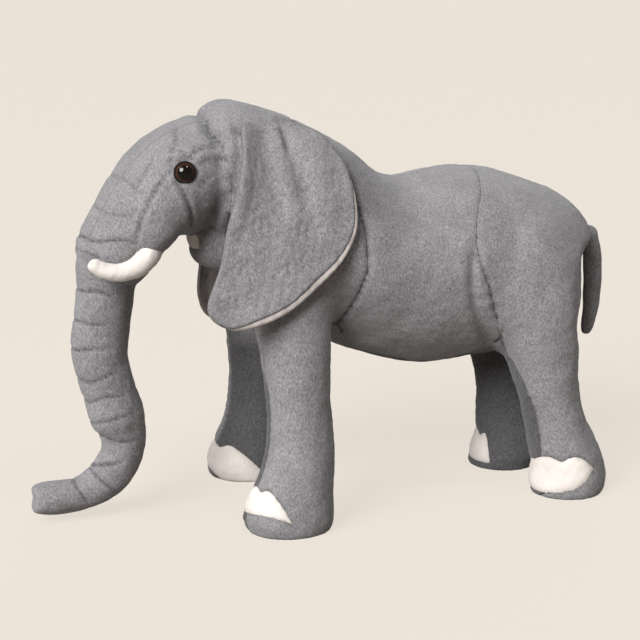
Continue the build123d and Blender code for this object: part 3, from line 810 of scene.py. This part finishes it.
def panel_piece(name, label, material, backing=BACKING):
    used, local = np.unique(skin.triangles[panel == label], return_inverse=True)
    outer = points[used]
    verts, triangles = thick(outer, outer - normals[used] * backing, local.reshape(-1, 3))
    shade = dark[used]
    # The under panel gets painted shade below the belly, darkest on the legs' inner sides
    if label == "under":
        shade = np.maximum(shade, INNER_LEG_PAINTED_SHADE * ramp(outer[:, 2], 96, 82))
    made = piece(name, verts, triangles, material, attributes=(("seam", np.tile(shade, 2)),))
    if name.startswith("trunk"):        # no bright line where the two halves meet
        made.data.set_sharp_from_angle(angle=math.radians(60))
    return made


def sewn(obj, slot, *nodes, body="body", fill=0.6):
    """The piece stands for those CAD nodes and moves with that body; the finish slot is not used."""
    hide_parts(*nodes)
    if body:
        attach(obj, body)
    return obj


for side in SIDES:
    for label, node in (("shoulder", "shoulder_cover"), ("barrel", "barrel_cover"),
                        ("hindquarter", "hindquarter_cover"), ("head", "head_side")):
        nodes = [f"{node}_{side}"] + ([f"upper_lip_{side}"] if label == "head" else [])
        sewn(panel_piece(f"{label}_panel_{side}", f"{label}_{side}", plush), "grey_plush", *nodes)
    for leg in ("fore", "hind"):
        sewn(panel_piece(f"{leg}foot_nails_{side}", f"{leg}_nails_{side}", velour), "cream_velour",
             f"{leg}foot_toenails_{side}")
        sewn(panel_piece(f"{leg}foot_bottom_{side}", f"{leg}_sole_{side}", sole_plush), "sole_plush",
             f"{leg}foot_sole_{side}")
sewn(panel_piece("under_panel", "under", plush), "grey_plush", "belly_panel")
sewn(panel_piece("forehead_panel", "forehead", plush), "grey_plush", "forehead_gusset")
sewn(panel_piece("jaw_panel", "jaw", plush), "grey_plush", "jaw_cover")
# Painted light: the mouth strip is lining like the ears' insides, but takes the lighter cream velour so that it
# looks lit
sewn(panel_piece("mouth_strip", "mouth", velour, 1.0), "cream_lining", "mouth_lining")

upper_trunk = panel_piece("trunk_upper_skin", "trunk_upper", plush)
sewn(upper_trunk, "grey_plush", "trunk_cover_upper", body=None)
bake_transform(upper_trunk)
lower_trunk = panel_piece("trunk_lower_skin", "trunk_lower", plush)
sewn(lower_trunk, "grey_plush", "trunk_cover_lower", body=None)
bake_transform(lower_trunk)
tail = skin_of(blurred(np.clip(fields["tail"], -BODY_EDGE, BODY_EDGE), 2))
tail.points += normals_of(tail.points, tail.triangles) * (0.3 * waves(tail.points, 17.0, 12, 90))[:, None]
behind = tail.points[:, 0] < along(tail.points[:, 2], TAIL_MIDDLE)
tail_seam = 0.8 * bell(tail.points[:, 1], 0.9) * behind
tail_skin = piece("tail_skin", tail.points, tail.triangles, plush, attributes=(("seam", tail_seam),))
sewn(tail_skin, "grey_plush", "tail_cover", body=None)
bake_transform(tail_skin)

# ---------------------------------------------------------------- tusks
TUSK_RINGS, TUSK_SPOKES = 90, 48
TUSK_CLOTH, TUSK_CORE = 1.2, 1.7        # depth of the cover's inside and of the filling
TUSK_LINE = [       # near side: x, y, z and radius, from inside the lip to the tip
    (-104.0, -22.0, 166.0, 6.4), (-108.5, -24.5, 160.0, 6.5), (-112.2, -27.0, 153.9, 6.4),
    (-117.2, -29.2, 149.4, 5.9), (-124.0, -30.2, 147.1, 5.3), (-131.0, -30.2, 146.8, 4.9),
    (-137.5, -29.4, 148.3, 4.5), (-142.0, -28.8, 150.8, 4.2), (-144.6, -28.4, 153.4, 3.8),
]


def cross_directions(centres):
    """Two steady cross directions at each centre of a line."""
    tangents = np.gradient(centres, axis=0)
    tangents /= np.linalg.norm(tangents, axis=1)[:, None]
    across = np.array([0.0, 1.0, 0.0])
    first = []
    for tangent in tangents:
        across = unit(across - tangent * (across @ tangent))
        first.append(across)
    return np.array(first), np.cross(tangents, first)


for side, sign in SIDES.items():
    line = smooth_line(TUSK_LINE, TUSK_RINGS, 30)
    line[:, 1] *= -sign
    if side == "right":     # that one reaches a little less far forward
        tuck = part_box("tusk_cover_right")[0][0] / MM - (line[:, 0] - line[:, 3]).min()
        share = np.linspace(0, 1, TUSK_RINGS) ** 1.2
        line[:, 0] += tuck * share
        line[:, 1] -= tuck * share
    side_a, side_b = cross_directions(line[:, :3])
    length = np.concatenate([[0], np.cumsum(np.linalg.norm(np.diff(line[:, :3], axis=0), axis=1))])
    from_tip = length[-1] - length
    cap = rounded_edge(from_tip, 3.4)
    spokes = np.arange(TUSK_SPOKES) * 2 * math.pi / TUSK_SPOKES
    around = side_a[:, None] * np.cos(spokes)[:, None] + side_b[:, None] * np.sin(spokes)[:, None]
    outer = (line[:, None, :3] + around * (line[:, 3] * cap)[:, None, None])[:-1].reshape(-1, 3)
    turn = np.tile(spokes, TUSK_RINGS - 1)
    centre = np.repeat(line[:-1, :3], TUSK_SPOKES, axis=0)
    outward = outer - centre
    reach = np.maximum(np.linalg.norm(outward, axis=1), 1e-6)[:, None]
    seam_off = np.abs((turn - 0.5 * math.pi) % (2 * math.pi) - math.pi) * line[:-1, 3].repeat(TUSK_SPOKES)
    dent = 0.14 * waves(outer, 11.0, 10, 60) + 0.05 * waves(outer, 4.0, 12, 61) - 0.55 * bell(seam_off, 0.9)
    outer = outer + outward / reach * (dent * np.minimum(1, reach[:, 0] / 3))[:, None]
    inner = centre + outward * ((reach - TUSK_CLOTH) / reach).clip(0.05)
    grid = np.arange(len(outer)).reshape(-1, TUSK_SPOKES)
    triangles = np.vstack([strips(grid), fan(grid[-1], len(outer))])
    verts, triangles = thick(np.vstack([outer, line[-1, :3]]), np.vstack([inner, line[-4, :3]]), triangles)
    seam_shade = np.append(0.7 * bell(seam_off, 0.7), 0)
    tusk = piece("tusk_skin_" + side, verts, triangles, velour, attributes=(("seam", np.tile(seam_shade, 2)),))
    sewn(tusk, "cream_velour", "tusk_cover_" + side, fill=0.9)
    core = centre + outward * ((reach - TUSK_CORE) / reach).clip(0.05)
    core = core[3 * TUSK_SPOKES:-6 * TUSK_SPOKES]
    rows = np.arange(len(core)).reshape(-1, TUSK_SPOKES)
    triangles = np.vstack([strips(rows), fan(rows[0], len(core))[:, ::-1], fan(rows[-1], len(core) + 1)])
    core = np.vstack([core, core[rows[0]].mean(0), core[rows[-1]].mean(0)])
    sewn(piece("tusk_filling_" + side, core, triangles, fibre), "stuffing", "tusk_stuffing_" + side, fill=0.8)

# ---------------------------------------------------------------- ears
EAR_TURNS = 260
RIM_STEPS = (0.0, 0.25, 0.55, 0.9, 1.3, 1.8, 2.4, 3.1, 4.0, 5.2, 6.8, 9.0)     # mm in from the edge
INNER_RINGS = 46
PLY_OUT, PLY_IN = 2.3, 1.4              # thickness of the grey layer and of the lining
HANG_MIDDLE, HANG_SPAN = 160.0, 60.0    # the curve an ear hangs in is fitted to heights about this one
# Folds in each ear: x and z of points from the root down, height outward, half width, how dark
EAR_FOLDS = {
    "left": [
        ([(-48.3, 220.9), (-47.9, 210.8), (-46.7, 198.2), (-45.1, 184.0), (-46.4, 172.2)], -2.8, 6.0, 0.0),
        ([(-37.0, 216.7), (-35.5, 207.6), (-32.1, 194.8), (-29.9, 182.1), (-28.9, 171.3)], -2.2, 5.0, 0.0),
        ([(-39.5, 220.0), (-37.9, 213.9), (-37.3, 206.3)], -1.8, 1.5, 0.7),
        ([(-47, 214), (-43, 196), (-41, 178)], 1.2, 5.0, 0.0),
        ([(-59, 233), (-62, 222), (-64, 206), (-67, 190), (-72, 174), (-77, 158)], 3.2, 6.0, 0.0),
        ([(-72, 150), (-60, 142), (-50, 140)], -0.8, 7.0, 0.0),
        ([(-20, 196), (-18, 178), (-24, 160)], 1.2, 8.0, 0.0),
    ],
    "right": [
        ([(-48, 226), (-47, 200), (-45, 175), (-46, 150)], -2.4, 6.0, 0.0),
        ([(-32, 214), (-28, 190), (-27, 165)], -1.6, 5.0, 0.0),
        ([(-56, 218), (-57, 190), (-57, 150), (-56, 112)], 2.2, 4.0, 0.0),
        ([(-38, 205), (-37, 180), (-37, 150)], 1.4, 5.0, 0.0),
        ([(-18, 190), (-15, 165), (-20, 140)], 1.2, 8.0, 0.0),
    ],
}


def rounded(values):
    """Values round a closed ring, each drawn towards its neighbours."""
    return 0.5 * values + 0.25 * (np.roll(values, 1) + np.roll(values, -1))


class Ear:
    """One ear: where its two layers meet, and how it is drawn in x and z."""

    def __init__(self, side):
        self.side, self.sign = side, SIDES[side]
        self.tree = BVHTree.FromPolygons(*[a.tolist() for a in node_mesh("ear_lining_" + side)])
        self.centre = np.array(EAR_CENTRE[side])
        turns = np.arange(EAR_TURNS) * 2 * math.pi / EAR_TURNS
        self.ways = np.stack([np.cos(turns), np.sin(turns)], 1)
        reach = []
        for way in self.ways:
            inside, outside = 0.0, 90.0
            for _ in range(14):
                middle = (inside + outside) / 2
                if self.hit(*(self.centre + way * middle)) is None:
                    outside = middle
                else:
                    inside = middle
            reach.append(inside)
        self.reach = np.array(reach)
        for _ in range(3):
            self.reach = rounded(self.reach)
        edge = self.centre + self.ways * self.reach[:, None]
        found = []
        for x, z in np.vstack([self.centre + (edge - self.centre) * s for s in (0.3, 0.6, 0.9)]):
            y = self.hit(x, z)
            if y is not None:
                found.append((z, abs(y)))
        heights, depths = np.array(found).T
        self.hang = np.polyfit((heights - HANG_MIDDLE) / HANG_SPAN, depths, 5)
        self.edge = edge

    def hit(self, x, z):
        place = self.tree.ray_cast(Vector((x, self.sign * 200.0, z)), Vector((0.0, -self.sign, 0.0)))[0]
        return None if place is None else place.y

    def cream(self):
        """How wide the lining's rolled rim shows on the outside, all round the edge."""
        x, z = self.edge.T
        middle = self.centre[1]
        width = 1.5 + 1.7 * ramp(z, middle + 8, middle - 32) - 0.6 * ramp(z, middle + 12, middle + 46)
        width[(x < self.centre[0] - 8) & (z > z.min() + 9)] = -0.3
        width *= ramp(x, -78, -66)
        width[z > 197] = -0.3
        width[(z > 186) & (z <= 197)] *= 0.5
        for _ in range(5):
            width = rounded(width)
        return width

    def rings(self, inset):
        """Flat points of the ear drawn in by an inset, its triangles, and how far in each point is."""
        reach = self.reach - inset
        steps = [reach - step for step in RIM_STEPS]
        last = steps[-1]
        steps += [last * (1 - (k + 1) / (INNER_RINGS + 1)) for k in range(INNER_RINGS)]
        flat = np.vstack([self.centre + self.ways * step[:, None] for step in steps] + [self.centre[None]])
        into = np.concatenate([np.minimum(reach - step, 30.0) for step in steps] + [[30.0]])
        grid = np.arange(len(steps) * EAR_TURNS).reshape(-1, EAR_TURNS)
        return flat, np.vstack([strips(grid), fan(grid[-1], grid.size)]), into

    def relief(self, flat):
        """Height outward of the folds, and how dark they are."""
        height, shade = np.zeros(len(flat)), np.zeros(len(flat))
        for line, lift, width, shading in EAR_FOLDS[self.side]:
            gap, share = along_path(flat, smooth_line(line, 60, 20))
            fade = np.clip((1 - share) * 2.6, 0, 1) * np.clip(share * 6 + 0.5, 0, 1)
            height += lift * fade * bell(gap, width)
            shade = np.maximum(shade, shading * fade * bell(gap, 1.2))
        spread = np.stack([flat[:, 0], np.full(len(flat), 40.0 * self.sign), flat[:, 1]], 1)
        height += 0.8 * waves(spread, 48.0, 8, 70) + 0.25 * waves(spread, 17.0, 10, 71)
        return height, shade

    def placed(self, flat, outward):
        """Points in space, this far outward along the ear's own normal. The top edge runs into the neck."""
        x, z = flat.T
        t = (z - HANG_MIDDLE) / HANG_SPAN
        slope = np.polyval(np.polyder(self.hang), t) / HANG_SPAN
        length = np.sqrt(1 + slope ** 2)
        root = ramp(z, 211, 224) * ramp(x, -26, -36)
        y = np.polyval(self.hang, t) + outward / length - 1.4 * root ** 1.5
        z = z - slope * outward / length + 1.5 * root
        return np.stack([x, self.sign * y, z], 1)


def ear_ply(ear, name, inset, near, far, material, lines=False):
    """One closed layer of an ear between two heights, each a function of how far in a point is."""
    flat, triangles, into = ear.rings(inset)
    folds, shade = ear.relief(flat)
    outer = ear.placed(flat, far(into) + folds)
    inner = ear.placed(flat, near(into) + folds)
    if ear.sign > 0:
        outer, inner = inner, outer
    verts, closed = thick(outer, inner, triangles)
    verts[:, 1] += 0.12 * waves(verts, 5.0, 20, 72)
    if lines:       # painted shade: the far ear's lining darkens towards its front
        shade = ramp(flat[:, 0], -48, -56) * (ear.side == "right")
    else:
        shade = np.maximum(shade, 0.35 * bell(into, 1.6))
    return piece(name, verts, closed, material, attributes=(("seam", np.tile(shade, 2)),))


def cloth_area(obj):
    """Area of one face of a thin closed piece, in square metres."""
    mesh = obj.data
    areas = np.empty(len(mesh.polygons))
    mesh.polygons.foreach_get("area", areas)
    return float(areas.sum() / 2)


for side, sign in SIDES.items():
    ear = Ear(side)
    outer = ear_ply(ear, "ear_back_" + side, ear.cream(), lambda into: 0.5 * rounded_edge(into, 3.0) - 0.5,
                    lambda into: 0.6 + (PLY_OUT - 0.6) * rounded_edge(into, 2.6), plush)
    inner = ear_ply(ear, "ear_inside_" + side, 0.0,
                    lambda into: -0.25 - (PLY_IN - 0.25) * rounded_edge(into, 2.4),
                    lambda into: (-0.3 + 1.7 * rounded_edge(into, 1.7) * ramp(into, 5.6, 4.0)
                                  - 0.5 * ramp(into, 4.0, 6.0)), lining, lines=True)
    for obj, slot, node in ((outer, "grey_plush", "ear_outer_"), (inner, "cream_lining", "ear_lining_")):
        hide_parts(node + side)
        area = cloth_area(obj)
        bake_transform(obj)

# ---------------------------------------------------------------- eyes and their lock washers
EYE_PROFILE = [         # radius and height: the dome, then its back and the shank
    (0.0, 5.0), (1.2, 4.91), (2.4, 4.64), (3.6, 4.17), (4.8, 3.48), (5.8, 2.68), (6.5, 1.95), (6.95, 1.25),
    (7.1, 0.75), (6.95, 0.2), (6.3, -0.3), (4.0, -0.6), (2.0, -0.9), (1.9, -6.0), (1.9, -10.6),
    (1.5, -11.0), (0.0, -11.0),
]
EYE_DOME = 10           # how many of those make the dome
EYE_RADIUS = 7.1
EYE_SPOKES = 96
EYE_SCALE = 0.88        # the lids cover the rest


def eye_material():
    """Glossy plastic: black pupil, brown iris, dark rim, read from each point's distance to the axis."""
    material, tree, principled = shader("safety eye", (0.004, 0.003, 0.003), 0.3, Coat_Weight=0.8,
                                        Coat_Roughness=0.03, Specular_IOR_Level=0.0)
    radius = tree.nodes.new("ShaderNodeAttribute")
    radius.attribute_name = "radius"
    colours = tree.nodes.new("ShaderNodeValToRGB")
    stops = [(0.0, (0.003, 0.002, 0.002)), (0.58, (0.003, 0.002, 0.002)), (0.64, (0.024, 0.010, 0.006)),
             (0.75, (0.040, 0.017, 0.010)), (0.83, (0.020, 0.009, 0.006)), (0.88, (0.004, 0.003, 0.003))]
    while len(colours.color_ramp.elements) < len(stops):
        colours.color_ramp.elements.new(0.5)
    for element, (place, colour) in zip(colours.color_ramp.elements, stops):
        element.position = place
        element.color = (*colour, 1.0)
    tree.links.new(radius.outputs["Fac"], colours.inputs["Fac"])
    tree.links.new(colours.outputs["Color"], principled.inputs["Base Color"])
    return material


safety_eye = eye_material()
for side in SIDES:
    ring, _ = node_mesh("eye_washer_" + side)
    body_points, _ = node_mesh("eye_" + side)
    ring_centre = (ring.min(0) + ring.max(0)) / 2
    axis = np.linalg.svd(ring - ring.mean(0), full_matrices=False)[2][2]
    axis *= math.copysign(1.0, axis[1] * SIDES[side])
    reach = (body_points - ring_centre) @ axis
    apex = ring_centre + axis * reach.max()
    across = unit(np.cross(axis, (0.0, 0.0, 1.0)))
    third = np.cross(axis, across)
    profile = np.vstack([smooth_line(EYE_PROFILE[:EYE_DOME], 40, 2), EYE_PROFILE[EYE_DOME:]])
    profile[:, 0] *= EYE_SCALE
    turn = np.arange(EYE_SPOKES) * 2 * math.pi / EYE_SPOKES
    circle = across * np.cos(turn)[:, None] + third * np.sin(turn)[:, None]
    seat = apex - axis * EYE_PROFILE[0][1]
    verts = np.vstack([seat + axis * h + circle * r for r, h in profile[1:-1]]
                      + [seat + axis * profile[0][1], seat + axis * profile[-1][1]])
    rows = np.arange((len(profile) - 2) * EYE_SPOKES).reshape(-1, EYE_SPOKES)
    triangles = np.vstack([strips(rows)[:, ::-1], fan(rows[0], rows.size),
                           fan(rows[-1], rows.size + 1)[:, ::-1]])
    height = (verts - seat) @ axis
    from_axis = np.linalg.norm(verts - seat - np.outer(height, axis), axis=1) / (EYE_SCALE * EYE_RADIUS)
    radius = np.where(height > 0.5, from_axis, 1.0)
    eye = piece("eye_button_" + side, verts, triangles, safety_eye, attributes=(("radius", radius),))
    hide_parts("eye_" + side)
    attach(eye, "body")

washer_plastic, washer_tree, washer_shader = shader("washer plastic", (0.72, 0.71, 0.68), 0.45)
grain = washer_tree.nodes.new("ShaderNodeBump")
grain.inputs["Distance"].default_value = 0.05 * MM
washer_tree.links.new(noise(washer_tree, mapped(washer_tree, 1.5)), grain.inputs["Height"])
washer_tree.links.new(grain.outputs["Normal"], washer_shader.inputs["Normal"])
for side in SIDES:
    washer = frame["nodes"]["eye_washer_" + side]
    washer.data.materials.clear()
    washer.data.materials.append(washer_plastic)

# ---------------------------------------------------------------- stuffing
STUFFING_BACK, TAIL_STUFFING_BACK = 4.8, 2.2      # how far inside the skin the fibre lies
TAIL_STUFFING_TOP = 138.5


def filling(name, field, node, body, back, step):
    """A lump of fibre inside one volume, a little smaller than the CAD stuffing."""
    lump = skin_of(np.clip(field[::step, ::step, ::step] + back, -BODY_EDGE, BODY_EDGE), step)
    around = normals_of(lump.points, lump.triangles)
    lump.points = lump.points + around * (0.5 * waves(lump.points, 12.0, 10, 80))[:, None]
    return sewn(piece(name, lump.points, lump.triangles, fibre), "stuffing", node, body=body)


for name, rider in (("torso", "body"), ("head", "body"), ("jaw", "body"), ("foreleg_left", "body"),
                    ("foreleg_right", "body"), ("hindleg_left", "body"), ("hindleg_right", "body"),
                    ("trunk_upper", "trunk_upper"), ("trunk_lower", "trunk_lower"), ("tail", "tail")):
    part, _, end = name.partition("_")
    node = f"{part}_stuffing_{end}" if end else f"{part}_stuffing"
    if name == "tail":       # only its free part, below the rump's skin
        field, back, step = np.maximum(fields[name], GZ - TAIL_STUFFING_TOP), TAIL_STUFFING_BACK, 1
    else:
        field, back, step = fields[name], STUFFING_BACK, 2
    filling(node.replace("stuffing", "filling"), field, node, rider, back, step)

# ---------------------------------------------------------------- floor, backdrop, light and camera
def flat_quad(name, corners, material):
    mesh = bpy.data.meshes.new(name)
    mesh.from_pydata(corners, [], [(0, 1, 2, 3)])
    mesh.materials.append(material)
    made = bpy.data.objects.new(name, mesh)
    bpy.context.scene.collection.objects.link(made)
    return made


FLOOR_COLOUR = (0.847, 0.783, 0.701)
SHADED_SHARE, BOUNCE_SHARE = 0.12, 0.34


def paper_material():
    """Seamless pale paper. It looks evenly bright, and sends less light back than it shows."""
    material, tree, matte = shader("paper", tuple(SHADED_SHARE * c for c in FLOOR_COLOUR), 0.9)
    matte.inputs["Specular IOR Level"].default_value = 0.0
    bounce = tree.nodes.new("ShaderNodeBsdfDiffuse")
    bounce.inputs["Color"].default_value = (*(BOUNCE_SHARE * c for c in FLOOR_COLOUR), 1.0)
    glow = tree.nodes.new("ShaderNodeEmission")
    glow.inputs["Color"].default_value = (*FLOOR_COLOUR, 1.0)
    glow.inputs["Strength"].default_value = 0.84
    seen = tree.nodes.new("ShaderNodeLightPath")
    both = tree.nodes.new("ShaderNodeAddShader")
    mix = tree.nodes.new("ShaderNodeMixShader")
    tree.links.new(matte.outputs["BSDF"], both.inputs[0])
    tree.links.new(glow.outputs["Emission"], both.inputs[1])
    tree.links.new(seen.outputs["Is Camera Ray"], mix.inputs["Fac"])
    tree.links.new(bounce.outputs["BSDF"], mix.inputs[1])
    tree.links.new(both.outputs["Shader"], mix.inputs[2])
    tree.links.new(mix.outputs["Shader"], tree.nodes["Material Output"].inputs["Surface"])
    return material


paper = paper_material()
REACH = 14.0            # half the floor's width, in metres
floor = flat_quad("floor", [(x * REACH, y * REACH, 0) for x, y in ((-1, -1), (1, -1), (1, 1), (-1, 1))], paper)

world = bpy.data.worlds.new("studio")
bpy.context.scene.world = world
world.use_nodes = True
background = world.node_tree.nodes["Background"]
background.inputs["Color"].default_value = (1.0, 0.975, 0.94, 1.0)
background.inputs["Strength"].default_value = 0.20
backdrop = world.node_tree.nodes.new("ShaderNodeBackground")
backdrop.inputs["Color"].default_value = (*FLOOR_COLOUR, 1.0)
seen = world.node_tree.nodes.new("ShaderNodeLightPath")
mix = world.node_tree.nodes.new("ShaderNodeMixShader")
world.node_tree.links.new(seen.outputs["Is Camera Ray"], mix.inputs["Fac"])
world.node_tree.links.new(background.outputs["Background"], mix.inputs[1])
world.node_tree.links.new(backdrop.outputs["Background"], mix.inputs[2])
world.node_tree.links.new(mix.outputs["Shader"], world.node_tree.nodes["World Output"].inputs["Surface"])


def lamp(name, kind, power, place, aim, size):
    """A light at a place in metres, looking at a point."""
    light = bpy.data.lights.new(name, kind)
    light.energy = power
    if kind == "SUN":
        light.angle = size
    else:
        light.size = size
    made = bpy.data.objects.new(name, light)
    made.location = place
    made.rotation_mode = "QUATERNION"
    made.rotation_quaternion = (Vector(aim) - Vector(place)).to_track_quat("-Z", "Y")
    bpy.context.scene.collection.objects.link(made)
    return made


lamp("key", "SUN", 4.65, (-1.95, -1.5, 1.7), (0.0, 0.0, 0.1), math.radians(34))
lamp("fill", "SUN", 1.5, (1.4, 2.0, 0.8), (0.0, 0.0, 0.1), math.radians(60))
lamp("catch_left", "AREA", 3.4, (-1.16, -0.18, 1.22), (-0.09, -0.03, 0.2), 0.17)
lamp("catch_right", "AREA", 3.4, (0.24, -0.62, 1.50), (-0.09, -0.03, 0.2), 0.15)

camera_data = bpy.data.cameras.new("camera")
camera_data.lens = 96.75
camera_data.sensor_width = 36.0
camera_data.clip_start, camera_data.clip_end = 0.05, 60.0
camera = bpy.data.objects.new("camera", camera_data)
azimuth, elevation, distance = math.radians(-18.5), math.radians(13.0), 1.0
target = Vector((-0.005, 0.0, 0.105))
back = Vector((math.sin(azimuth) * math.cos(elevation), -math.cos(azimuth) * math.cos(elevation),
               math.sin(elevation)))
camera.location = target + back * distance
camera.rotation_mode = "QUATERNION"
camera.rotation_quaternion = (-back).to_track_quat("-Z", "Y")
bpy.context.scene.collection.objects.link(camera)
bpy.context.scene.camera = camera
bpy.context.scene.view_settings.view_transform = "Standard"
